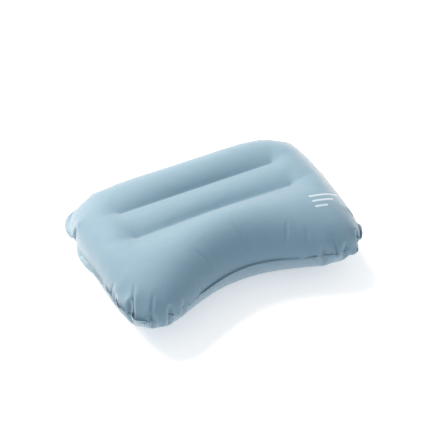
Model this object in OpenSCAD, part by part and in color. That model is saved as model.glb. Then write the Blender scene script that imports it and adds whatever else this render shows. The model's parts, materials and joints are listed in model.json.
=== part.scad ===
/* [Pillow body] */
// Width of the inflated body between its side seams
body_width = 438; // [360:1:560]
// Depth of the inflated body, as twice the distance from its middle to its back seam
body_depth = 312; // [270:1:400]
// Thickness of the inflated body at its crown
body_thickness = 136; // [110:1:170]
// Squareness of the plan outline, as a superellipse exponent
outline_squareness = 4; // [3:0.1:5]
// Fullness of the body's section, as a superellipse exponent
section_fullness = 2.5; // [2:0.1:3]
// How much further than the back edge the front edge would stand without its bow
front_fullness = 10; // [0:1:20]
// How far the middle of the front edge is drawn back
front_bow = 62; // [10:1:80]
// Width of the drawn-back stretch, as a share of the body's width
bow_share = 0.9; // [0.7:0.01:1]
// Thickness of the coated fabric
fabric_thickness = 1; // [0.6:0.1:1.4]
// Width of the welded margin outside the seam
weld_margin = 9; // [5:0.5:14]
// Angle by which the body leans back onto its rear lobe
seat_tilt = 3.6; // [0:0.1:6]
// How much the weight of the body flattens it where it rests
rest_sag = 2.5; // [1:0.1:5]

/* [Baffles] */
// Place of the front baffle, measured back from the middle of the body
front_baffle_y = -1; // [-20:1:20]
// Distance from the front baffle to the rear baffle
baffle_spacing = 66; // [50:1:80]
// Length of each baffle
baffle_length = 276; // [200:1:290]
// Distance that each baffle holds between the two panels
baffle_height = 76; // [56:1:96]
// Thickness of a baffle's web and of its weld lips
baffle_thickness = 0.6; // [0.4:0.1:1.2]
// Width of a baffle's weld lip
lip_width = 8; // [5:0.5:12]
// How far a crease reaches into the front and rear lobes
crease_reach = 40; // [30:1:44]
// How far a crease runs on past the end of its baffle
crease_fade = 30; // [20:1:34]
// Rise of the middle lobe above the two creases
middle_lobe_rise = 10; // [4:1:16]

/* [Valve] */
// Distance from the body's side seam to the valve's centre
valve_from_side = 31; // [30:1:50]
// Angle by which the valve faces out to the side
valve_tilt = 24; // [10:1:30]
// Place of the valve, measured back from the middle of the body
valve_y = 40; // [0:1:60]
// Radius of the wide bore through the valve base
bore_r = 11.5; // [9.5:0.1:14]
// Wall of the collar round the bore
collar_wall = 3; // [2:0.1:4]
// Height of the collar above the weld flange
collar_h = 2.5; // [2:0.1:3.5]
// Width of the weld flange outside the collar
valve_flange_w = 5; // [4:0.5:7]
// Thickness of the weld flange
valve_flange_t = 0.8; // [0.6:0.1:1.2]
// Wall of the base's neck, which passes through the fabric
neck_wall = 1.5; // [1:0.1:2]
// Depth of the base's neck below the fabric's outer face
neck_depth = 2.5; // [2:0.1:4]
// Thickness of the lids of the plug and the cap
lid_t = 1.2; // [1:0.1:1.5]
// Radius of the small port through the plug
port_r = 4.5; // [3.5:0.1:5.4]
// Clearance of a lid's spigot, which swings out of its hole
spigot_clearance = 0.4; // [0.35:0.05:0.5]
// Distance that the check flap lifts off its seat
flap_travel = 1; // [0.6:0.1:1]
// Gap between valve faces that only lie on each other
face_gap = 0.1; // [0.05:0.01:0.15]

/* [Mesh] */
// Number of mesh steps along the baffles
steps_along = 18; // [12:1:24]
// Number of mesh rings from the creased middle to the seam
rings = 9; // [6:1:12]

/* [Hidden] */
$fn = 96;

top_colour = "#a9bcc9";
bottom_colour = "#9db2c1";
baffle_colour = "#c3d0d8";
valve_colour = "#8fa3b1";
flap_colour = "#dfe5e8";

// The body is made about its seam plane, then leans back onto the ground.
half_width = body_width/2;
half_depth = body_depth/2;
half_thickness = body_thickness/2;
half_baffle = baffle_height/2;
rear_baffle_y = front_baffle_y + baffle_spacing;
middle_lobe_y = front_baffle_y + baffle_spacing/2;

/* ---- the body's surface ---- */

function smooth(a) = let (b = max(0, min(1, a))) b*b*(3 - 2*b);
function blend(a, b, w) = a + (b - a)*w;

// How far the front edge is drawn back at a place across the width.
function bow_at(x, grow) = front_bow*pow(cos(90*min(1, abs(x)/(bow_share*(half_width + grow)))), 2);

// A point of the plan outline, pushed out by a margin, in the direction of an angle.
function outline(angle, grow) =
    let (c = cos(angle), s = sin(angle),
         r = pow(pow(abs(c), outline_squareness) + pow(abs(s), outline_squareness), -1/outline_squareness),
         x = (half_width + grow)*r*c,
         depth = half_depth + grow + (s < 0 ? front_fullness - bow_at(x, grow) : 0))
    [x, depth*r*s];

// 0 at the middle of the body and 1 on its outline.
function reach_out(x, y, grow) =
    let (depth = half_depth + grow + (y < 0 ? front_fullness - bow_at(x, grow) : 0))
    min(1, pow(pow(abs(x)/(half_width + grow), outline_squareness)
               + pow(abs(y)/depth, outline_squareness), 1/outline_squareness));

// Height of the plain dome above the seam plane.
function dome(x, y, grow) =
    (half_thickness - fabric_thickness)
    *pow(max(0, 1 - pow(reach_out(x, y, grow), section_fullness)), 1/section_fullness);

// Height of the surface with its two creases and the low middle lobe between them.
function creased(x, y, grow) =
    let (plain = dome(x, y, grow),
         floor_h = min(plain, half_baffle - fabric_thickness),
         across = max(0, (y < middle_lobe_y ? front_baffle_y - y : y - rear_baffle_y) - lip_width/2),
         between = min(1, abs(y - middle_lobe_y)/(baffle_spacing/2 - lip_width/2)),
         inside = y > front_baffle_y && y < rear_baffle_y,
         lobe = inside
             ? min(plain, floor_h + middle_lobe_rise*(1 - between*between))
             : plain - (plain - floor_h)*pow(1 - min(1, across/(crease_reach - lip_width/2)), 2),
         along = 1 - smooth((abs(x) - baffle_length/2)/crease_fade))
    blend(plain, lobe, along);

// The valve stands on a flat patch of the bottom panel, which faces down and out to the side.
collar_r = bore_r + collar_wall;
valve_flange_r = collar_r + valve_flange_w;
valve_x = half_width - valve_from_side;
valve_place = [valve_x, valve_y, -creased(valve_x, valve_y, 0) - fabric_thickness];
valve_out = [sin(valve_tilt), 0, -cos(valve_tilt)];
patch_r = valve_flange_r + 13;
patch_blend = 12;
function beside_valve(p, grow) =
    let (d = p - valve_place, h = d*valve_out,
         w = 1 - smooth((norm(d - h*valve_out) - patch_r)/patch_blend))
    p - w*(h - grow)*valve_out;

/* ---- the mesh: a grid over the creases, and rings from it to the outline ---- */

grid_x = concat(
    [for (i = [3:-1:1]) -baffle_length/2 - crease_fade*i/3],
    [for (i = [0:steps_along]) baffle_length*(i/steps_along - 0.5)],
    [for (i = [1:3]) baffle_length/2 + crease_fade*i/3]);
grid_y = concat(
    [for (d = [crease_reach, crease_reach*0.65, crease_reach*0.35, lip_width/2]) front_baffle_y - d],
    [for (f = [-1, -0.75, -0.4, 0, 0.4, 0.75, 1]) middle_lobe_y + f*(baffle_spacing/2 - lip_width/2)],
    [for (d = [lip_width/2, crease_reach*0.35, crease_reach*0.65, crease_reach]) rear_baffle_y + d]);
nx = len(grid_x);
ny = len(grid_y);
loop_n = 2*(nx + ny - 2);

// The grid's own edge, as indices, in order round it from its front left corner.
grid_edge = concat(
    [for (i = [0:nx - 2]) i],
    [for (j = [0:ny - 2]) j*nx + nx - 1],
    [for (i = [nx - 1:-1:1]) (ny - 1)*nx + i],
    [for (j = [ny - 1:-1:1]) j*nx]);

grid_middle = [0, (grid_y[0] + grid_y[ny - 1])/2];
grid_half = [grid_x[nx - 1], (grid_y[ny - 1] - grid_y[0])/2];
edge_angles = [for (k = grid_edge)
    let (x = grid_x[k % nx], y = grid_y[floor(k/nx)])
    atan2((y - grid_middle[1])/grid_half[1], x/grid_half[0])];

// Plan points of the grid followed by its rings; the last ring is the outline.
function plan(grow) = concat(
    [for (y = grid_y) for (x = grid_x) [x, y]],
    [for (k = [1:rings]) for (e = [0:loop_n - 1])
        let (from = [grid_x[grid_edge[e] % nx], grid_y[floor(grid_edge[e]/nx)]],
             to = outline(edge_angles[e], grow))
        blend(from, to, 1 - pow(1 - k/rings, 1.8))]);

// One skin of a panel. side is 1 above the seam and -1 below, and grow is 0 outside or minus the wall inside.
function skin(side, grow) = [for (p = plan(grow))
    let (q = [p[0], p[1], side*(creased(p[0], p[1], grow) + (grow < 0 ? 0 : fabric_thickness))])
    side < 0 ? beside_valve(q, grow) : q];

// A level ring beside the outline, at a margin and height of its own.
function rim(margin, z) = [for (a = edge_angles) concat(outline(a, margin), [z])];

// Leans a point back about the width of the body.
function leant(p) =
    let (c = cos(seat_tilt), s = sin(seat_tilt))
    [p[0], p[1]*c + p[2]*s, p[2]*c - p[1]*s];

// The seam's middle stands this high, so that the lowest skin sags into the ground by rest_sag.
seam_height = -min([for (p = skin(-1, 0)) leant(p)[2]]) - rest_sag;

// The body's box is centred on the origin from front to back.
margin_y = [for (p = rim(weld_margin, 0)) leant(p)[1]];
shift_y = -(max(margin_y) + min(margin_y))/2;

// A point of the seated body, kept out of the ground.
function seated(p, ground) =
    let (q = leant(p))
    [q[0], q[1] + shift_y, max(ground, q[2] + seam_height)];

function grid_faces(at, turn) = [for (j = [0:ny - 2]) for (i = [0:nx - 2]) for (half = [0, 1])
    let (a = at + j*nx + i, b = a + 1, c = a + nx + 1, d = a + nx,
         f = half == 0 ? [a, b, c] : [a, c, d])
    turn ? [f[2], f[1], f[0]] : f];
function band(inner, outer, turn) = [for (e = [0:loop_n - 1]) for (half = [0, 1])
    let (n = (e + 1) % loop_n, a = inner[e], b = inner[n], c = outer[n], d = outer[e],
         f = half == 0 ? [a, d, c] : [a, c, b])
    turn ? [f[2], f[1], f[0]] : f];
function ring_ids(at, k) = k == 0
    ? [for (g = grid_edge) at + g]
    : [for (e = [0:loop_n - 1]) at + nx*ny + (k - 1)*loop_n + e];
function skin_faces(at, turn) = concat(
    grid_faces(at, !turn),
    [for (k = [0:rings - 1]) each band(ring_ids(at, k), ring_ids(at, k + 1), !turn)]);

// A closed panel: its outer skin, the welded margin round it, and its inner skin.
module panel(side) {
    count = nx*ny + rings*loop_n;
    outer = skin(side, 0);
    inner = skin(side, -fabric_thickness);
    margin_out = rim(weld_margin, side*fabric_thickness);
    margin_in = rim(weld_margin, 0);
    outer_at = 0;
    inner_at = count;
    out_ids = [for (e = [0:loop_n - 1]) 2*count + e];
    in_ids = [for (e = [0:loop_n - 1]) 2*count + loop_n + e];
    points = concat(
        [for (p = outer) seated(p, 0)],
        [for (p = inner) seated(p, fabric_thickness)],
        [for (p = margin_out) seated(p, 0)],
        [for (p = margin_in) seated(p, 0)]);
    turn = side < 0;
    polyhedron(points, concat(
        skin_faces(outer_at, turn),
        band(ring_ids(outer_at, rings), out_ids, !turn),
        band(out_ids, in_ids, !turn),
        band(in_ids, ring_ids(inner_at, rings), !turn),
        skin_faces(inner_at, !turn)));
}

/* ---- panels and baffles ---- */

module seat() {
    translate([0, shift_y, seam_height]) rotate([-seat_tilt, 0, 0]) children();
}

module top_panel() {
    color(top_colour) panel(1);
}

module bottom_panel() {
    color(bottom_colour) difference() {
        panel(-1);
        at_valve() translate([0, 0, -neck_depth]) cylinder(r = neck_r, h = 2*neck_depth);
    }
}

// A web between two weld lips, which lie on the inner faces of the two panels.
module baffle(y) {
    lip_z = half_baffle - fabric_thickness;
    seat() translate([-baffle_length/2, y, 0]) {
        translate([0, -baffle_thickness/2, -lip_z]) cube([baffle_length, baffle_thickness, 2*lip_z]);
        for (z = [-lip_z, lip_z - baffle_thickness])
            translate([0, -lip_width/2, z]) cube([baffle_length, lip_width, baffle_thickness]);
    }
}

module front_baffle() {
    color(baffle_colour) baffle(front_baffle_y);
}

module rear_baffle() {
    color(baffle_colour) baffle(rear_baffle_y);
}

/* ---- the valve, made about its own axis with the fabric's outer face at z = 0 ---- */

neck_r = bore_r + neck_wall;
base_top = valve_flange_t + collar_h;
plug_z = base_top + face_gap;
plug_top = plug_z + lid_t;
cap_z = plug_top + face_gap;
plug_r = collar_r - 0.5;
plug_hinge_x = -(plug_r + 2.5);
plug_strap_w = 8;
hinge_ledge = 1.2;
spigot_wall = 1.1;
port_tube_wall = 1.2;
port_tube_h = 0.75;
seat_z = plug_z - port_tube_h;
flap_t = 0.7;
flap_r = port_r + port_tube_wall + 1.1;
stem_r = 1.1;
stem_clearance = 0.1;
barb_r = 1.6;
barb_h = 0.7;
spider_t = 0.9;
spider_z = seat_z - flap_t - flap_travel - face_gap/2 - spider_t;
hub_r = 2.4;
spoke_w = 2;
cap_r = port_r + 2.5;
cap_spigot_r = port_r - 0.3;
cap_spigot_h = 1.6;
cap_hinge_x = cap_r + 2.6;
cap_strap_w = 5;
tab_r = 4.5;
cap_tab_r = 3;

module at_valve() {
    seat() translate(valve_place) rotate([0, 180 - valve_tilt, 0]) children();
}

module ring(inner_r, outer_r, z, h) {
    translate([0, 0, z]) difference() {
        cylinder(r = outer_r, h = h);
        translate([0, 0, -h]) cylinder(r = inner_r, h = 3*h);
    }
}

// A lid's strap, which ends in a round barrel about the line that it bends on.
module strap(from_x, hinge_x, width, z) {
    translate([min(from_x, hinge_x), -width/2, z]) cube([abs(from_x - hinge_x), width, lid_t]);
    translate([hinge_x, width/2, z + lid_t/2]) rotate([90, 0, 0]) cylinder(r = lid_t/2, h = width);
}

// The weld flange on the fabric, the neck through it, and the collar that holds the plug.
module valve_base() {
    color(valve_colour) at_valve() {
        ring(bore_r, neck_r, -neck_depth, neck_depth + valve_flange_t);
        ring(bore_r, valve_flange_r, 0, valve_flange_t);
        ring(bore_r, collar_r, 0, base_top);
        translate([plug_hinge_x - hinge_ledge, -plug_strap_w/2, 0])
            cube([-plug_hinge_x - bore_r, plug_strap_w, base_top]);
    }
}

// The wide deflation plug, with the small port in its lid and a spider that guides the check flap.
module valve_plug() {
    color(valve_colour) at_valve() {
        difference() {
            union() {
                translate([0, 0, plug_z]) cylinder(r = plug_r, h = lid_t);
                translate([plug_r - 0.5, 0, plug_z]) cylinder(r = tab_r, h = lid_t);
                ring(port_r, port_r + port_tube_wall, seat_z, port_tube_h + lid_t);
            }
            cylinder(r = port_r, h = 2*plug_top);
        }
        strap(-port_r - port_tube_wall, plug_hinge_x, plug_strap_w, plug_z);
        spigot_r = bore_r - spigot_clearance;
        ring(spigot_r - spigot_wall, spigot_r, spider_z, plug_z - spider_z + lid_t/2);
        difference() {
            union() {
                translate([0, 0, spider_z]) cylinder(r = hub_r, h = spider_t);
                for (a = [30, 150, 270]) rotate([0, 0, a])
                    translate([0, -spoke_w/2, spider_z]) cube([spigot_r - spigot_wall/2, spoke_w, spider_t]);
            }
            translate([0, 0, spider_z - spider_t]) cylinder(r = stem_r + stem_clearance, h = 3*spider_t);
        }
    }
}

// The silicone flap that closes the port from inside, on a stem with a barb that holds it in the spider.
module check_flap() {
    barb_z = spider_z - barb_h - 0.4;
    color(flap_colour) at_valve() {
        translate([0, 0, seat_z - flap_t]) cylinder(r = flap_r, h = flap_t);
        translate([0, 0, barb_z]) cylinder(r = stem_r, h = seat_z - flap_t/2 - barb_z);
        translate([0, 0, barb_z]) cylinder(r = barb_r, h = barb_h);
    }
}

// The small lid that closes the port, with its pull tab and its strap.
module valve_cap() {
    color(valve_colour) at_valve() {
        translate([0, 0, cap_z]) cylinder(r = cap_r, h = lid_t);
        translate([-cap_r, 0, cap_z]) cylinder(r = cap_tab_r, h = lid_t);
        strap(cap_r - 1, cap_hinge_x, cap_strap_w, cap_z);
        ring(cap_spigot_r - spigot_wall, cap_spigot_r, cap_z - cap_spigot_h, cap_spigot_h + lid_t/2);
    }
}

top_panel();
bottom_panel();
front_baffle();
rear_baffle();
valve_base();
valve_plug();
check_flap();
valve_cap();
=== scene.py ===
import json
import math

import bmesh
import bpy
import numpy as np
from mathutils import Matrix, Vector
from mathutils.bvhtree import BVHTree
from mathutils.geometry import delaunay_2d_cdt
from mathutils.kdtree import KDTree


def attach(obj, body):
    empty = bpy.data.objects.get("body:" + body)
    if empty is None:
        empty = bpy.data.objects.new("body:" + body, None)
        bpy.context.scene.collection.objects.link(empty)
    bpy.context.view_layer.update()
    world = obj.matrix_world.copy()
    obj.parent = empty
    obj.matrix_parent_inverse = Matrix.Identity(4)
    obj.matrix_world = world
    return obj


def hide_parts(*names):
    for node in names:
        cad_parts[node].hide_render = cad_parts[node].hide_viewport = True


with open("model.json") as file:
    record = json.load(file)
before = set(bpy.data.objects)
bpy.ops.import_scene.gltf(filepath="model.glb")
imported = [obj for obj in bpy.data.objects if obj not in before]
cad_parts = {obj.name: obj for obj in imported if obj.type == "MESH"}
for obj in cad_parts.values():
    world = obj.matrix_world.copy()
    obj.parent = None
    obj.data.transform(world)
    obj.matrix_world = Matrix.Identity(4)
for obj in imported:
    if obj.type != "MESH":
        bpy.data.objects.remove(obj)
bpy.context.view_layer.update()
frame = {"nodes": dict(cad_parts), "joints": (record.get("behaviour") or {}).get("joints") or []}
scene = bpy.context.scene

# ---- The table and its light -------------------------------------------------------------
# A white table under a large soft lamp, which hangs behind the pillow and to its left.
# The pale room fills the shadows, and a long lens looks down on the pillow from the front.

turn, height = math.radians(-26.1), math.radians(46.0)
view_distance, lens, sensor = 1.848, 92.9, 36.0
aim = Vector((0, 0, 0.04))
back = Vector((math.sin(turn)*math.cos(height), -math.cos(turn)*math.cos(height), math.sin(height)))

camera_data = bpy.data.cameras.new("camera")
camera_data.lens = lens
camera_data.sensor_width = sensor
camera_data.shift_x, camera_data.shift_y = 0.002, 0.0446
camera = bpy.data.objects.new("camera", camera_data)
camera.location = aim + back*view_distance
camera.rotation_euler = back.to_track_quat("Z", "Y").to_euler()
scene.collection.objects.link(camera)
scene.camera = camera
scene.view_settings.view_transform = "Standard"


def lamp(name, place, size, power, colour):
    """A square soft lamp that shines at the pillow."""
    light = bpy.data.lights.new(name, "AREA")
    light.size, light.energy, light.color = size, power, colour
    hung = bpy.data.objects.new(name, light)
    hung.location = place
    hung.rotation_euler = (Vector(place) - aim).to_track_quat("Z", "Y").to_euler()
    scene.collection.objects.link(hung)


lamp("key_lamp", (-0.7, 1.7, 1.95), 1.7, 148, (1.0, 0.85, 0.73))

room = bpy.data.worlds.new("room")
room.use_nodes = True
room.node_tree.nodes["Background"].inputs["Color"].default_value = (0.95, 0.97, 0.98, 1)
room.node_tree.nodes["Background"].inputs["Strength"].default_value = 0.69
scene.world = room


class Socket:
    """One output of a finish's nodes. Python's operators on it add Math nodes."""

    def __init__(self, finish, socket):
        self.finish, self.socket = finish, socket

    def math(self, operation, *others):
        return self.finish.node("ShaderNodeMath", {"operation": operation}, dict(enumerate((self, *others))))

    def __add__(self, other):
        return self.math("ADD", other)

    def __sub__(self, other):
        return self.math("SUBTRACT", other)

    def __mul__(self, other):
        return self.math("MULTIPLY", other)

    def __rsub__(self, other):
        return self.finish.node("ShaderNodeMath", {"operation": "SUBTRACT"}, {0: other, 1: self})

    __radd__ = __add__
    __rmul__ = __mul__


class Finish:
    """A material and its shader, with a method that adds any other node."""

    def __init__(self, name, shader):
        self.material = bpy.data.materials.new(name)
        self.material.use_nodes = True
        self.tree = self.material.node_tree
        self.shader = self.tree.nodes["Principled BSDF"]
        self.set(self.shader, shader)

    def set(self, node, values):
        for key, value in values.items():
            socket = node.inputs[key]
            if isinstance(value, Socket):
                self.tree.links.new(value.socket, socket)
            else:
                socket.default_value = value

    def node(self, kind, settings=None, values=None, output=0):
        made = self.tree.nodes.new(kind)
        for name, value in (settings or {}).items():
            setattr(made, name, value)
        self.set(made, values or {})
        return Socket(self, made.outputs[output])

    def mix(self, factor, first, second):
        return self.node("ShaderNodeMix", {"data_type": "RGBA"}, {0: factor, 6: first, 7: second}, 2)

    def noise(self, scale, detail=2.0, roughness=0.5):
        values = {"Vector": self.place(), "Scale": scale, "Detail": detail, "Roughness": roughness}
        return self.node("ShaderNodeTexNoise", {}, values)

    def place(self):
        return self.node("ShaderNodeTexCoord", {}, {}, 3)

    def bump(self, heights):
        """Bump nodes in a row, from (height, distance) pairs with the coarsest first."""
        normal = None
        for value, distance in heights:
            values = {"Height": value, "Distance": distance, "Strength": 1.0}
            if normal is not None:
                values["Normal"] = normal
            normal = self.node("ShaderNodeBump", {}, values)
        self.set(self.shader, {"Normal": normal})


def rgb(red, green, blue):
    """A shader colour from screen values of 0 to 255."""
    return (*(((c/255 + 0.055)/1.055)**2.4 for c in (red, green, blue)), 1.0)


def add_mesh(name, points, faces, finish):
    """A new smooth-shaded mesh object at the origin."""
    mesh = bpy.data.meshes.new(name)
    mesh.from_pydata([tuple(p) for p in points], [], [tuple(int(i) for i in f) for f in faces])
    mesh.polygons.foreach_set("use_smooth", np.ones(len(mesh.polygons), bool))
    mesh.materials.append(finish.material)
    made = bpy.data.objects.new(name, mesh)
    scene.collection.objects.link(made)
    return made


table = Finish("white_table", {"Base Color": rgb(246, 248, 250), "Roughness": 0.9,
                               "Emission Color": (1.0, 0.97, 0.94, 1), "Emission Strength": 0.38})
floor = add_mesh("floor", [(-8, -8, 0), (8, -8, 0), (8, 8, 0), (-8, 8, 0)], [(0, 1, 2, 3)], table)

# ---- The cut pattern ---------------------------------------------------------------------
# The top and the bottom panel are cut flat from one pattern, a rounded rectangle whose front
# edge bows in for the sleeper's neck. Two straight lines mark where the baffles are welded, and
# the welded margin round the outside is narrower along the bow.

pattern_half_width = 0.243
pattern_half_depth = 0.190
front_bow = 0.042
bow_share = 0.9
squareness = 4
margin_width = 0.009
bow_margin_width = 0.004
margin_rows = 3
baffle_lines = (-0.002, 0.066)
baffle_length = 0.275
baffle_height = 0.076
mesh_step = 0.0045


def weld_line():
    """Points along the welded seam of the flat pattern, one mesh step apart, anticlockwise."""
    angle = np.linspace(-math.pi, math.pi, 4001)[:-1]
    c, s = np.cos(angle), np.sin(angle)
    x = pattern_half_width*np.sign(c)*np.abs(c)**(2/squareness)
    y = pattern_half_depth*np.sign(s)*np.abs(s)**(2/squareness)
    across = np.clip(np.abs(x)/(bow_share*pattern_half_width), 0, 1)
    y += np.where(y < 0, front_bow*np.cos(math.pi/2*across)**2, 0)
    ring = np.column_stack([x, y])
    ring = np.vstack([ring, ring[:1]])
    length = np.concatenate([[0], np.cumsum(np.linalg.norm(np.diff(ring, axis=0), axis=1))])
    even = np.linspace(0, length[-1], round(length[-1]/mesh_step), endpoint=False)
    return np.column_stack([np.interp(even, length, ring[:, k]) for k in (0, 1)])


def is_inside(points, ring):
    """Which points lie inside a closed ring."""
    x, y = points.T
    inside = np.zeros(len(points), bool)
    for (x1, y1), (x2, y2) in zip(ring, np.roll(ring, 1, 0)):
        if y1 != y2:
            inside ^= ((y1 > y) != (y2 > y)) & (x < (x2 - x1)*(y - y1)/(y2 - y1) + x1)
    return inside


def cut_panel(seam, outward):
    """The flat panel's points, its triangles, and the points of each baffle line."""
    row_step = mesh_step*math.sqrt(3)/2
    columns = np.arange(-pattern_half_width, pattern_half_width, mesh_step)
    rows = np.arange(-pattern_half_depth - 0.02, pattern_half_depth + 0.02, row_step)
    shift = (np.arange(len(rows)) % 2)*mesh_step/2
    grid = np.column_stack([(columns[None, :] + shift[:, None]).ravel(), np.repeat(rows, len(columns))])
    grid = grid[is_inside(grid, seam - outward*mesh_step*1.35)]
    count = round(baffle_length/mesh_step) + 1
    lines = []
    for y in baffle_lines:
        beside = np.abs(grid[:, 1] - y) < mesh_step*0.6
        grid = grid[~(beside & (np.abs(grid[:, 0]) < baffle_length/2 + mesh_step*0.6))]
        along = np.linspace(-baffle_length/2, baffle_length/2, count)
        lines.append(np.column_stack([along, np.full(count, y)]))
    points = np.vstack([seam, seam - outward*mesh_step*0.9, *lines, grid])
    around = len(seam)
    kept = [(i, (i + 1) % around) for i in range(around)]
    baffle_points = [np.arange(count) + 2*around + k*count for k in range(len(lines))]
    for line in baffle_points:
        kept += list(zip(line[:-1].tolist(), line[1:].tolist()))
    _, _, triangles, origins, _, _ = delaunay_2d_cdt([Vector(p) for p in points], kept, [], 1, 1e-7)
    faces = np.array([[origins[i][0] for i in t] for t in triangles])
    a, b, c = (points[faces[:, k]] for k in range(3))
    clockwise = np.cross(b - a, c - a) < 0
    faces[clockwise] = faces[clockwise][:, ::-1]
    return points, faces, baffle_points


seam = weld_line()
tangent = np.roll(seam, -1, 0) - np.roll(seam, 1, 0)
tangent /= np.linalg.norm(tangent, axis=1)[:, None]
outward = np.column_stack([tangent[:, 1], -tangent[:, 0]])
pattern, pattern_faces, baffle_points = cut_panel(seam, outward)
around, panel_points = len(seam), len(pattern)
along_bow = np.clip((0.165 - np.abs(seam[:, 0]))/0.03, 0, 1)*(seam[:, 1] < 0)
margin_widths = margin_width - (margin_width - bow_margin_width)*along_bow

# ---- Inflation ---------------------------------------------------------------------------
# The welded pillow is blown up with air. The fabric hardly stretches but folds easily, so the
# seam puckers at the corners, and the baffles hold the middle down in two long creases.

seat_tilt = math.radians(3.6)
seam_height = 0.0606
seam_shift = -0.0042
valve_pattern_place = np.array([0.189, 0.042])
fabric_wall = 0.0005
dot_height = 0.00035
neck_depth = 0.0025

valve_out = -np.array(next(j["axis"] for j in frame["joints"] if j["name"] == "flap_travel"))


def corners(node):
    """The corners of a CAD node's mesh."""
    mesh = frame["nodes"][node].data
    found = np.empty(3*len(mesh.vertices))
    mesh.vertices.foreach_get("co", found)
    return found.reshape(-1, 3)


valve_across = np.cross([0, 1, 0], -valve_out)
valve_across /= np.linalg.norm(valve_across)
valve_across *= np.sign(valve_across[0])
valve_along = np.cross(valve_across, valve_out)
valve_along *= np.sign(valve_along[1])


def middle_of(node, direction):
    """Half way between a CAD node's two ends along a direction."""
    reach = corners(node) @ direction
    return (reach.min() + reach.max())/2*direction


valve_face = (corners("valve_base") @ valve_out).min() + neck_depth
valve_place = (middle_of("check_flap", valve_across) + middle_of("check_flap", valve_along)
               + valve_face*valve_out)
valve_weld_radius = 0.0195

# Where the seam puckers most, as a place on the pattern, a depth and a width.
puckers = ((-0.236, -0.107, 0.006, 0.008), (-0.205, -0.157, 0.006, 0.008),
           (-0.242, -0.050, 0.004, 0.006), (-0.241, -0.072, 0.003, 0.005),
           (-0.234, 0.113, 0.003, 0.006), (-0.241, 0.078, 0.003, 0.006),
           (0.140, -0.171, 0.004, 0.007), (0.220, -0.142, 0.004, 0.006),
           (0.235, -0.110, 0.004, 0.007))


def edges_of(faces):
    """Every edge of some triangles, once."""
    return np.unique(np.sort(np.vstack([faces[:, [0, 1]], faces[:, [1, 2]], faces[:, [2, 0]]]), 1), axis=0)


def bend_pairs(faces):
    """The two points that face each other across each inner edge."""
    across = {}
    for a, b, c in faces.tolist():
        for u, v, w in ((a, b, c), (b, c, a), (c, a, b)):
            across.setdefault((min(u, v), max(u, v)), []).append(w)
    return np.array([pair for pair in across.values() if len(pair) == 2])


class Cloth:
    """Points joined by threads, each of which pulls back when longer or pushes when shorter."""

    def __init__(self, place):
        self.place, self.speed, self.threads = place, np.zeros_like(place), []

    def add_threads(self, pairs, lengths, pull, push):
        """Sorts the threads into groups that share no point, so that each group is solved at once."""
        left = np.random.default_rng(1).permutation(len(pairs))
        while len(left):
            group, free = [], left
            used = np.zeros(len(self.place), bool)
            while len(free):
                order = np.arange(len(free))
                first = np.full(len(self.place), len(free))
                np.minimum.at(first, pairs[free, 0], order)
                np.minimum.at(first, pairs[free, 1], order)
                taken = (first[pairs[free, 0]] == order) & (first[pairs[free, 1]] == order)
                group.append(free[taken])
                used[pairs[free[taken]].ravel()] = True
                free = free[~taken]
                free = free[~used[pairs[free, 0]] & ~used[pairs[free, 1]]]
            group = np.concatenate(group)
            self.threads.append((pairs[group, 0], pairs[group, 1], lengths[group], pull/2, push/2))
            left = np.setdiff1d(left, group, assume_unique=True)

    def hold(self, place):
        """Moves the points so that the threads come back towards their lengths."""
        for a, b, length, pull, push in self.threads:
            apart = place[b] - place[a]
            distance = np.sqrt((apart*apart).sum(1)) + 1e-12
            excess = distance - length
            apart *= (np.where(excess > 0, pull, push)*excess/distance)[:, None]
            place[a] += apart
            place[b] -= apart

    def air(self, faces, pressure):
        """The push of the air on every point, square to the fabric."""
        a, b, c = (self.place[faces[:, k]] for k in range(3))
        push = np.cross(b - a, c - a)*pressure/6
        total = np.zeros_like(self.place)
        for corner in range(3):
            for axis in range(3):
                total[:, axis] += np.bincount(faces[:, corner], push[:, axis], len(total))
        return total


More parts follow.
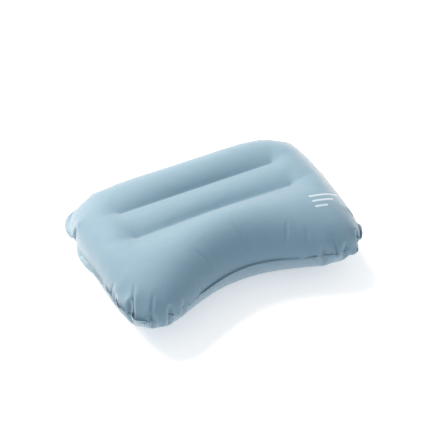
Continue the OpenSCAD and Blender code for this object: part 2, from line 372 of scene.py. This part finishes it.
def inflate():
    """The pillow's points once it is blown up, with the triangles of its top, bottom and margin."""
    tree = KDTree(around)
    for i, p in enumerate(seam):
        tree.insert((*p, 0), i)
    tree.balance()
    nearest = [tree.find((*p, 0)) for p in pattern]
    to_seam = np.array([distance for _, _, distance in nearest])
    below = np.concatenate([np.arange(around), panel_points + np.arange(panel_points - around)])
    top_faces, bottom_faces = pattern_faces, below[pattern_faces[:, ::-1]]

    start_rise, start_round, start_scale, unevenness = 0.03, 0.085, 0.985, 1.5e-4
    rise = start_rise*np.sqrt(1 - (1 - np.clip(to_seam/start_round, 0, 1))**2)
    uneven = np.random.default_rng(3).normal(0, unevenness, panel_points)
    heights = [rise + uneven, (uneven - rise)[around:]]
    flats = [pattern, pattern[around:]]
    margin_faces, inner = [], np.arange(around)
    start = 2*panel_points - around
    for row in range(margin_rows):
        flats.append(seam + outward*margin_widths[:, None]*(row + 1)/margin_rows)
        heights.append(np.zeros(around))
        outer = start + row*around + np.arange(around)
        after = np.roll(np.arange(around), -1)
        margin_faces += [np.column_stack([inner, outer, inner[after]]),
                         np.column_stack([outer, outer[after], inner[after]])]
        inner = outer
    margin_faces = np.vstack(margin_faces)
    flat, z = np.vstack(flats), np.concatenate(heights)
    plan = flat*start_scale
    for x, y, depth, width in puckers:
        reach = np.exp(-(np.linalg.norm(flat - (x, y), axis=1)/width)**2)
        plan -= depth*reach[:, None]*outward[np.argmin(np.linalg.norm(seam - (x, y), axis=1))]
    c, s = math.cos(seat_tilt), math.sin(seat_tilt)
    y, z = plan[:, 1]*c + z*s + seam_shift, z*c - plan[:, 1]*s + seam_height
    cloth = Cloth(np.column_stack([plan[:, 0], y, z]))

    skin = np.vstack([top_faces, bottom_faces])

    def lengths(pairs):
        return np.linalg.norm(flat[pairs[:, 0]] - flat[pairs[:, 1]], axis=1)

    for pairs, pull, push in ((edges_of(skin), 1, 0.04), (edges_of(margin_faces), 1, 0.3),
                              (np.vstack([bend_pairs(top_faces), bend_pairs(bottom_faces)]), 0, 0.02),
                              (bend_pairs(margin_faces), 0, 0.05)):
        cloth.add_threads(pairs, lengths(pairs), pull, push)
    webs = np.vstack([np.column_stack([line, below[line]]) for line in baffle_points])
    cloth.add_threads(webs, np.full(len(webs), baffle_height), 1, 0)

    from_valve = pattern - valve_pattern_place
    held = np.linalg.norm(from_valve, axis=1) < valve_weld_radius
    pinned = below[held]
    pinned_start = cloth.place[pinned].copy()
    pinned_end = (valve_place - fabric_wall*valve_out + from_valve[held, :1]*valve_across
                  + from_valve[held, 1:]*valve_along)

    steps = 1400
    pressure = 3e-6/(mesh_step**2*math.sqrt(3)/2)
    weight, damping, top_speed = 3e-8, 0.985, 0.002
    for tick in range(steps):
        share = tick/steps
        force = cloth.air(skin, pressure*min(1, 4*share))
        force[:, 2] -= weight
        cloth.speed = (cloth.speed + force)*damping
        cloth.speed *= min(1, top_speed/np.abs(cloth.speed).max())
        moved = cloth.place + cloth.speed
        cloth.hold(moved)
        near = min(1, 2*share)
        moved[pinned] = pinned_start + (pinned_end - pinned_start)*near*near*(3 - 2*near)
        moved[:, 2] = np.maximum(moved[:, 2], fabric_wall + dot_height)
        cloth.speed = moved - cloth.place
        cloth.place = moved
    beyond = np.concatenate([-margin_widths*(row + 1)/margin_rows for row in range(margin_rows)])
    to_seam[:around] = 0
    clear = np.concatenate([to_seam, to_seam[around:], beyond])
    return cloth.place, flat, clear, top_faces, bottom_faces, margin_faces


blown, blown_flat, blown_clear, top_faces, bottom_faces, margin_faces = inflate()

# ---- Top and bottom panels ---------------------------------------------------------------
# Each panel is brushed polyester with an air-tight film inside, and reaches over the welded
# margin. The print on the top is pale ink, and the bottom has a hole for the valve's neck.

valve_neck_radius = 0.013
weave_pitch = 0.00042
emboss_pitch = 0.0012

# Folds pressed into the front face, as two places on the pattern, a depth and a width. Each is
# deepest half way along, so those that end beyond the seam are deepest near it.
folds = ((-0.186, -0.093, -0.240, -0.165, 0.0042, 0.0026), (-0.169, -0.124, -0.222, -0.189, 0.0032, 0.0023),
         (-0.212, -0.065, -0.268, -0.069, 0.0022, 0.0024), (-0.217, -0.079, -0.262, -0.098, 0.0018, 0.0024),
         (0.1530, -0.138, 0.1600, -0.206, 0.0036, 0.0023), (-0.1370, -0.136, -0.1060, -0.190, 0.0013, 0.0024),
         (0.0020, -0.066, 0.0150, -0.146, 0.0017, 0.0028), (0.0100, -0.084, 0.0230, -0.140, 0.0013, 0.0026),
         (0.0880, -0.094, 0.0690, -0.146, 0.0012, 0.0028), (-0.0800, -0.090, -0.0560, -0.136, 0.0012, 0.0028),
         (-0.0550, -0.100, -0.0360, -0.150, 0.0010, 0.0026), (0.0480, -0.100, 0.0450, -0.150, 0.0008, 0.0026),
         (0.1160, -0.110, 0.1040, -0.158, 0.0009, 0.0026), (-0.1040, -0.118, -0.0820, -0.164, 0.0010, 0.0026))


def refine(shape, faces, flat, clear):
    """One round of Loop subdivision, which keeps the seam, the baffle lines and the free edges sharp."""
    sides = np.vstack([faces[:, [0, 1]], faces[:, [1, 2]], faces[:, [2, 0]]])
    across = np.concatenate([faces[:, 2], faces[:, 0], faces[:, 1]])
    edges, index, uses = np.unique(np.sort(sides, 1), axis=0, return_inverse=True, return_counts=True)
    index = index.ravel()
    a, b = edges.T
    sharp = (uses == 1) | ((clear[a] == 0) & (clear[b] == 0))
    for y in baffle_lines:
        on_line = (np.abs(flat[:, 1] - y) < 1e-6) & (np.abs(flat[:, 0]) < baffle_length/2 + 1e-6)
        sharp |= on_line[a] & on_line[b]
    facing = np.zeros((len(edges), 3))
    np.add.at(facing, index, shape[across])
    ends = shape[a] + shape[b]
    middles = np.where(sharp[:, None], ends/2, ends*3/8 + facing/8)
    beside, sharp_beside = np.zeros_like(shape), np.zeros_like(shape)
    for u, v in ((a, b), (b, a)):
        np.add.at(beside, u, shape[v])
        np.add.at(sharp_beside, u[sharp], shape[v[sharp]])
    count = np.bincount(edges.ravel(), minlength=len(shape))[:, None]
    sharp_count = np.bincount(edges[sharp].ravel(), minlength=len(shape))[:, None]
    moved = np.where(sharp_count == 0, shape*5/8 + beside*3/8/count, shape*3/4 + sharp_beside/8)
    shape = np.where((sharp_count == 1) | (sharp_count > 2), shape, moved)
    n, f = len(shape), len(faces)
    ab, bc, ca = n + index[:f], n + index[f:2*f], n + index[2*f:]
    p, q, r = faces.T
    faces = np.vstack([np.column_stack(t) for t in ((p, ab, ca), (ab, q, bc), (ca, bc, r), (ab, bc, ca))])
    flat = np.vstack([flat, (flat[a] + flat[b])/2])
    clear = np.concatenate([clear, (clear[a] + clear[b])/2])
    return np.vstack([shape, middles]), faces, flat, clear


def normals_of(shape, faces):
    """The way that each point of a skin faces."""
    a, b, c = (shape[faces[:, k]] for k in range(3))
    square = np.cross(b - a, c - a)
    total = np.zeros_like(shape)
    for corner in range(3):
        np.add.at(total, faces[:, corner], square)
    return total/np.linalg.norm(total, axis=1)[:, None]


def pressed(shape, faces, flat, clear):
    """A skin with the folds pressed into it, and its seam left where it is."""
    depth = np.zeros(len(shape))
    for x1, y1, x2, y2, deep, wide in folds:
        start, along = np.array([x1, y1]), np.array([x2 - x1, y2 - y1])
        share = np.clip(((flat - start) @ along)/(along @ along), 0, 1)
        aside = np.linalg.norm(flat - start - share[:, None]*along, axis=1)
        depth += deep*np.sin(math.pi*share)*np.exp(-(aside/wide)**2)
    depth *= np.clip(clear/0.005, 0, 1)
    return shape - normals_of(shape, faces)*depth[:, None]


class Skin:
    """One panel of the blown-up pillow: its points, where each lies on the pattern, and its triangles."""

    def __init__(self, faces, hole=0.0, folded=False):
        middles = blown_flat[faces].mean(1) - valve_pattern_place
        faces = faces[np.linalg.norm(middles, axis=1) > hole]
        used, faces = np.unique(faces, return_inverse=True)
        parts = blown[used], faces.reshape(-1, 3), blown_flat[used], blown_clear[used]
        self.shape, self.faces, self.flat, self.clear = refine(*parts)
        if folded:
            self.shape = pressed(self.shape, self.faces, self.flat, self.clear)
        self.normals = normals_of(self.shape, self.faces)
        self.outside = self.shape + self.normals*fabric_wall
        self.finder = BVHTree.FromPolygons([(x, y, 0) for x, y in self.flat.tolist()], self.faces.tolist())

    def lay(self, places, lift=0.0):
        """Points on the inner face above places of the pattern, lifted inward."""
        found = []
        for x, y in places:
            face = self.faces[self.finder.find_nearest((x, y, 0))[2]]
            a, b, c = self.flat[face]
            share = np.linalg.solve(np.column_stack([b - a, c - a]), np.array([x, y]) - a)
            weights = np.array([1 - share.sum(), *share])
            found.append(weights @ (self.shape[face] - lift*self.normals[face]))
        return np.array(found)

    def mark(self, mesh, copies=1):
        """Writes the pattern as a UV map, half a metre to one unit, and the way to the seam."""
        pattern_map = mesh.uv_layers.new(name="pattern")
        flat = np.tile(self.flat, (copies, 1))
        corner = np.empty(len(mesh.loops), int)
        mesh.loops.foreach_get("vertex_index", corner)
        pattern_map.data.foreach_set("uv", (flat[corner]*2 + 0.5).ravel())
        clear = mesh.attributes.new("clear", "FLOAT", "POINT")
        clear.data.foreach_set("value", np.tile(self.clear, copies))

    def panel(self, name, finish):
        """The closed wall of fabric: an outer skin, an inner skin and the cut edges between them."""
        n = len(self.shape)
        sides = np.vstack([self.faces[:, [0, 1]], self.faces[:, [1, 2]], self.faces[:, [2, 0]]])
        _, index, uses = np.unique(np.sort(sides, 1), axis=0, return_inverse=True, return_counts=True)
        rim = sides[uses[index.ravel()] == 1]
        wall = np.vstack([np.column_stack([rim[:, 1], rim[:, 0], rim[:, 0] + n]),
                          np.column_stack([rim[:, 1], rim[:, 0] + n, rim[:, 1] + n])])
        faces = np.vstack([self.faces, self.faces[:, ::-1] + n, wall])
        made = add_mesh(name, np.vstack([self.outside, self.shape]), faces, finish)
        self.mark(made.data, 2)
        return made


def fabric(name, colour, deep, pale, printed):
    """Brushed polyester: a fine plain weave, faint cloudy shades, and a smoother welded margin."""
    finish = Finish(name, {"Sheen Weight": 0.6, "Sheen Roughness": 0.45, "IOR": 1.5,
                           "Sheen Tint": rgb(245, 248, 250)})
    pattern_map = finish.node("ShaderNodeUVMap", {"uv_map": "pattern"})
    metres = [(finish.node("ShaderNodeSeparateXYZ", {}, {0: pattern_map}, k) - 0.5)*0.5 for k in (0, 1)]
    thread = 2*math.pi/weave_pitch
    weave = (metres[0]*thread).math("SINE")*(metres[1]*thread).math("SINE")
    clear = finish.node("ShaderNodeAttribute", {"attribute_name": "clear"}, {}, 2)
    margin = (clear*-1 + 0.0002).math("MULTIPLY", 2500).math("MINIMUM", 1).math("MAXIMUM", 0)
    ridge = 2*math.pi/emboss_pitch
    rising = (metres[0]*ridge + metres[1]*ridge).math("SINE")
    emboss = rising*(metres[0]*ridge - metres[1]*ridge).math("SINE")
    clouds = finish.noise(9, 3)
    nap = finish.noise(1400, 2)
    shade = finish.mix(clouds*0.5 + nap*0.3, deep, colour)
    shade = finish.mix(margin*0.45, shade, pale)
    if printed:
        ink = None
        for length, y in printed:
            half = length/2 - print_height/2
            along = ((metres[0] - (print_left + length/2)).math("ABSOLUTE") - half).math("MAXIMUM", 0)
            up = metres[1] - y
            edge = (along*along + up*up).math("SQRT")
            bar = ((print_height/2 - edge)*4000).math("MAXIMUM", 0).math("MINIMUM", 1)
            ink = bar if ink is None else ink.math("MAXIMUM", bar)
        shade = finish.mix(ink*0.6, shade, rgb(196, 212, 222))
    roughness = 0.62 - margin*0.17 + nap*0.06
    finish.set(finish.shader, {"Base Color": shade, "Roughness": roughness})
    puffs = finish.noise(60, 2)
    finish.bump(((puffs, 0.0006), (emboss*margin, 0.00005), (weave*(1 - margin), 0.000035), (nap, 0.00004)))
    return finish


print_left, print_height = 0.142, 0.0042
print_bars = ((0.056, -0.060), (0.040, -0.072), (0.024, -0.084))
top_fabric = fabric("brushed_polyester",
                    rgb(104, 138, 159), rgb(98, 132, 154), rgb(124, 155, 173), print_bars)
# The underside is cut from the same brushed polyester as the top, and its colours are set about 12 levels
# darker than the top's.
bottom_fabric = fabric("underside_polyester",
                       rgb(92, 127, 149), rgb(85, 120, 143), rgb(112, 145, 166), ())

top_skin = Skin(np.vstack([top_faces, margin_faces]), folded=True)
bottom_skin = Skin(np.vstack([bottom_faces, margin_faces[:, ::-1]]), valve_neck_radius + 0.0008)
for name, skin, finish, node, slot in (
        ("top_shell", top_skin, top_fabric, "top_panel", "top_fabric"),
        ("bottom_shell", bottom_skin, bottom_fabric, "bottom_panel", "bottom_fabric")):
    shell = skin.panel(name, finish)
    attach(shell, "pillow")
    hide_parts(node)

# ---- Grip dots ---------------------------------------------------------------------------
# Low silicone dots are printed in staggered rows on the underside, so that the pillow doesn't
# slide on a sleeping mat. The print stops short of the seam and of the valve.

dot_step = 0.0042
dot_radius = 0.00125
dot_clearance = 0.003
dot_columns, dot_rows = 118, 108


def node_tree(name, inputs):
    """A Geometry Nodes tree with a geometry input and output, and named number inputs."""
    tree = bpy.data.node_groups.new(name, "GeometryNodeTree")
    tree.interface.new_socket("Geometry", in_out="INPUT", socket_type="NodeSocketGeometry")
    for title, kind in inputs:
        tree.interface.new_socket(title, in_out="INPUT", socket_type=kind)
    tree.interface.new_socket("Geometry", in_out="OUTPUT", socket_type="NodeSocketGeometry")
    return tree


def step(tree, kind, settings, values, output=0):
    """One node of a Geometry Nodes tree, with its settings first, and then its values or links."""
    made = tree.nodes.new(kind)
    for name, value in settings.items():
        setattr(made, name, value)
    for key, value in values.items():
        if isinstance(value, bpy.types.NodeSocket):
            tree.links.new(value, made.inputs[key])
        else:
            made.inputs[key].default_value = value
    return made.outputs[output]


def dot_tree(material):
    """Lays a staggered grid of low dots on a skin by its pattern."""
    tree = node_tree("printed_dots", [("Step", "NodeSocketFloat"), ("Radius", "NodeSocketFloat"),
                                      ("Height", "NodeSocketFloat"), ("Clearance", "NodeSocketFloat"),
                                      ("Columns", "NodeSocketInt"), ("Rows", "NodeSocketInt")])
    given = tree.nodes.new("NodeGroupInput").outputs

    def number(operation, *values):
        return step(tree, "ShaderNodeMath", {"operation": operation}, dict(enumerate(values)))

    def sample(kind, value, output=0):
        values = {0: given["Geometry"], 1: value, 2: pattern_map, 3: on_map}
        return step(tree, "GeometryNodeSampleUVSurface", {"data_type": kind}, values, output)

    def stored(kind, name):
        return step(tree, "GeometryNodeInputNamedAttribute", {"data_type": kind}, {"Name": name})

    def store(points, kind, name, value):
        return step(tree, "GeometryNodeStoreNamedAttribute", {"data_type": kind, "domain": "POINT"},
                    {"Geometry": points, "Name": name, "Value": value})

    def shift(axis, length):
        return step(tree, "ShaderNodeCombineXYZ", {}, {axis: length})

    width = number("MULTIPLY", given["Step"], number("SUBTRACT", given["Columns"], 1))
    row_step = number("MULTIPLY", given["Step"], math.sqrt(3)/2)
    depth = number("MULTIPLY", row_step, number("SUBTRACT", given["Rows"], 1))
    grid = step(tree, "GeometryNodeMeshGrid", {}, {
        "Size X": width, "Size Y": depth, "Vertices X": given["Columns"], "Vertices Y": given["Rows"]})
    odd = number("MODULO", step(tree, "GeometryNodeInputIndex", {}, {}), 2)
    half_step = number("MULTIPLY", given["Step"], 0.5)
    grid = step(tree, "GeometryNodeSetPosition", {},
                {"Geometry": grid, "Offset": shift("X", number("MULTIPLY", odd, half_step))})
    points = step(tree, "GeometryNodeMeshToPoints", {}, {"Mesh": grid})
    pattern_map = stored("FLOAT_VECTOR", "pattern")
    where = step(tree, "GeometryNodeInputPosition", {}, {})
    on_map = step(tree, "ShaderNodeVectorMath", {"operation": "MULTIPLY_ADD"},
                  {0: where, 1: (2, 2, 0), 2: (0.5, 0.5, 0)})
    clear = stored("FLOAT", "dot_clear")
    outside = step(tree, "FunctionNodeBooleanMath", {"operation": "NOT"}, {0: sample("FLOAT", clear, 1)})
    close = step(tree, "FunctionNodeCompare", {"operation": "LESS_THAN"},
                 {0: sample("FLOAT", clear), 1: given["Clearance"]})
    away = step(tree, "FunctionNodeBooleanMath", {"operation": "OR"}, {0: outside, 1: close})
    facing = sample("FLOAT_VECTOR", step(tree, "GeometryNodeInputNormal", {}, {}))
    on_skin = sample("FLOAT_VECTOR", where)
    points = store(points, "FLOAT_VECTOR", "facing", facing)
    points = store(points, "BOOLEAN", "away", away)
    points = step(tree, "GeometryNodeSetPosition", {}, {"Geometry": points, "Position": on_skin})
    points = step(tree, "GeometryNodeDeleteGeometry", {"domain": "POINT"},
                  {"Geometry": points, "Selection": stored("BOOLEAN", "away")})
    stand = step(tree, "FunctionNodeAlignRotationToVector", {"axis": "Z"},
                 {"Vector": stored("FLOAT_VECTOR", "facing")})
    dot = step(tree, "GeometryNodeMeshCone", {"fill_type": "NGON"}, {
        "Vertices": 6, "Radius Top": number("MULTIPLY", given["Radius"], 0.62),
        "Radius Bottom": given["Radius"], "Depth": given["Height"]})
    dot = step(tree, "GeometryNodeSetPosition", {},
               {"Geometry": dot, "Offset": shift("Z", number("MULTIPLY", given["Height"], -0.15))})
    dots = step(tree, "GeometryNodeInstanceOnPoints", {},
                {"Points": points, "Instance": dot, "Rotation": stand})
    dots = step(tree, "GeometryNodeRealizeInstances", {}, {"Geometry": dots})
    dots = step(tree, "GeometryNodeSetMaterial", {}, {"Geometry": dots, "Material": material})
    tree.links.new(dots, tree.nodes.new("NodeGroupOutput").inputs[0])
    return tree


def grown(name, skin_object, tree, inputs):
    """Runs a tree on an object and keeps the result as a plain mesh."""
    modifier = skin_object.modifiers.new("grow", "NODES")
    modifier.node_group = tree
    for item in tree.interface.items_tree:
        if item.in_out == "INPUT" and item.name in inputs:
            modifier[item.identifier] = inputs[item.name]
    bpy.context.view_layer.update()
    evaluated = skin_object.evaluated_get(bpy.context.evaluated_depsgraph_get())
    mesh = bpy.data.meshes.new_from_object(evaluated)
    skin_object.modifiers.clear()
    bpy.data.objects.remove(skin_object)
    mesh.name = name
    made = bpy.data.objects.new(name, mesh)
    scene.collection.objects.link(made)
    return made


silicone_print = Finish("silicone_print", {"IOR": 1.41})
silicone_print.bump(((silicone_print.noise(900, 2), 0.00003),))
speckle = silicone_print.noise(40, 2)
silicone_print.set(silicone_print.shader, {
    "Base Color": silicone_print.mix(speckle, rgb(160, 187, 203), rgb(178, 201, 214)),
    "Roughness": 0.3 + speckle*0.12})

printed_skin = add_mesh("printed_skin", bottom_skin.outside, bottom_skin.faces, silicone_print)
bottom_skin.mark(printed_skin.data)
from_valve = np.linalg.norm(bottom_skin.flat - valve_pattern_place, axis=1) - valve_weld_radius
dot_clear = printed_skin.data.attributes.new("dot_clear", "FLOAT", "POINT")
dot_clear.data.foreach_set("value", np.minimum(bottom_skin.clear, from_valve + 0.004))
grip_dots = grown("grip_dots", printed_skin, dot_tree(silicone_print.material), {
    "Step": dot_step, "Radius": dot_radius, "Height": dot_height, "Clearance": dot_clearance,
    "Columns": dot_columns, "Rows": dot_rows})
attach(grip_dots, "pillow")

# ---- Baffles -----------------------------------------------------------------------------
# Two strips of laminated fabric stand inside, one under each crease. Each strip's two long
# edges are folded over and welded to the panels, and the air stretches it flat between them.

baffle_wall = 0.0004
lip_width = 0.008

baffle_film = Finish("baffle_film", {"Sheen Weight": 0.15, "Sheen Roughness": 0.5})
film_shade = baffle_film.noise(30, 3)
baffle_film.set(baffle_film.shader, {
    "Base Color": baffle_film.mix(film_shade, rgb(190, 203, 211), rgb(206, 217, 224)),
    "Roughness": 0.45 + film_shade*0.15})
baffle_film.bump(((baffle_film.noise(500, 2), 0.00005),))


def strip(edge_a, edge_b, thickness):
    """Points and faces of a thin closed strip between two rows of points."""
    across = edge_b - edge_a
    along = np.gradient(edge_a, axis=0)
    square = np.cross(along, across)
    square *= thickness/2/np.linalg.norm(square, axis=1)[:, None]
    points = np.vstack([edge_a - square, edge_b - square, edge_b + square, edge_a + square])
    n = len(edge_a)
    faces = [(k*n + i, k*n + i + 1, (k + 1) % 4*n + i + 1, (k + 1) % 4*n + i)
             for k in range(4) for i in range(n - 1)]
    faces += [(0, n, 2*n, 3*n), (4*n - 1, 3*n - 1, 2*n - 1, n - 1)]
    return points, faces


def baffle(name, line_y, node):
    """One strip with its two weld lips, laid on the inner faces of the panels."""
    x = np.linspace(-baffle_length/2, baffle_length/2, 70)
    rows = {}
    for skin in (top_skin, bottom_skin):
        for side in (-1, 0, 1):
            places = np.column_stack([x, np.full(len(x), line_y + side*lip_width/2)])
            rows[skin, side] = skin.lay(places, baffle_wall)
    ends = [(rows[top_skin, 0], rows[bottom_skin, 0])]
    ends += [(rows[skin, 0], rows[skin, side]) for skin in (top_skin, bottom_skin) for side in (-1, 1)]
    points, faces, count = [], [], 0
    for edge_a, edge_b in ends:
        more_points, more_faces = strip(edge_a, edge_b, baffle_wall)
        points.append(more_points)
        faces += [tuple(i + count for i in face) for face in more_faces]
        count += len(more_points)
    made = add_mesh(name, np.vstack(points), faces, baffle_film)
    tidy = bmesh.new()
    tidy.from_mesh(made.data)
    bmesh.ops.recalc_face_normals(tidy, faces=tidy.faces)
    tidy.to_mesh(made.data)
    tidy.free()
    made.data.polygons.foreach_set("use_smooth", np.zeros(len(made.data.polygons), bool))
    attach(made, "pillow")
    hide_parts(node)


baffle("front_web", baffle_lines[0], "front_baffle")
baffle("rear_web", baffle_lines[1], "rear_baffle")

# ---- Valve -------------------------------------------------------------------------------
# The flat valve is moulded in soft plastic and welded to the underside. Its wide plug lets the
# air out fast, and the small cap on the plug covers a silicone flap that holds the air in.

edge_round = 0.00022


def moulded(name, colour, shine):
    """Soft moulded plastic with a fine spark-eroded grain."""
    finish = Finish(name, {"IOR": 1.5, "Specular IOR Level": 0.45})
    clouds, grain = finish.noise(120, 3), finish.noise(3500, 2)
    deep, pale = (rgb(*(c + lift for c in colour)) for lift in (-7, 7))
    finish.set(finish.shader, {"Base Color": finish.mix(clouds, deep, pale),
                               "Roughness": shine + grain*0.12 + clouds*0.05})
    finish.bump(((clouds, 0.00004), (grain, 0.00002)))
    return finish


def moulding(name, node, body, finish):
    """A moulded valve part: the CAD shape with its sharp edges eased."""
    made = bpy.data.objects.new(name, frame["nodes"][node].data.copy())
    scene.collection.objects.link(made)
    shape = bmesh.new()
    shape.from_mesh(made.data)
    bmesh.ops.remove_doubles(shape, verts=shape.verts, dist=1e-6)
    bmesh.ops.dissolve_limit(shape, angle_limit=math.radians(1), verts=shape.verts, edges=shape.edges)
    shape.to_mesh(made.data)
    shape.free()
    made.data.materials.clear()
    made.data.materials.append(finish.material)
    made.data.polygons.foreach_set("use_smooth", np.ones(len(made.data.polygons), bool))
    ease = made.modifiers.new("eased_edges", "BEVEL")
    ease.width, ease.segments, ease.limit_method, ease.angle_limit = edge_round, 2, "ANGLE", math.radians(40)
    ease.harden_normals = True
    mesh = bpy.data.meshes.new_from_object(made.evaluated_get(bpy.context.evaluated_depsgraph_get()))
    made.modifiers.clear()
    made.data = mesh
    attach(made, body)
    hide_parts(node)


valve_plastic = moulded("valve_plastic", (124, 148, 165), 0.42)
lid_plastic = moulded("lid_plastic", (133, 157, 173), 0.4)
flap_silicone = moulded("flap_silicone", (216, 224, 229), 0.3)
moulding("valve_seat", "valve_base", "pillow", valve_plastic)
moulding("deflation_plug", "valve_plug", "plug", lid_plastic)
moulding("port_lid", "valve_cap", "cap", lid_plastic)
moulding("silicone_flap", "check_flap", "flap", flap_silicone)
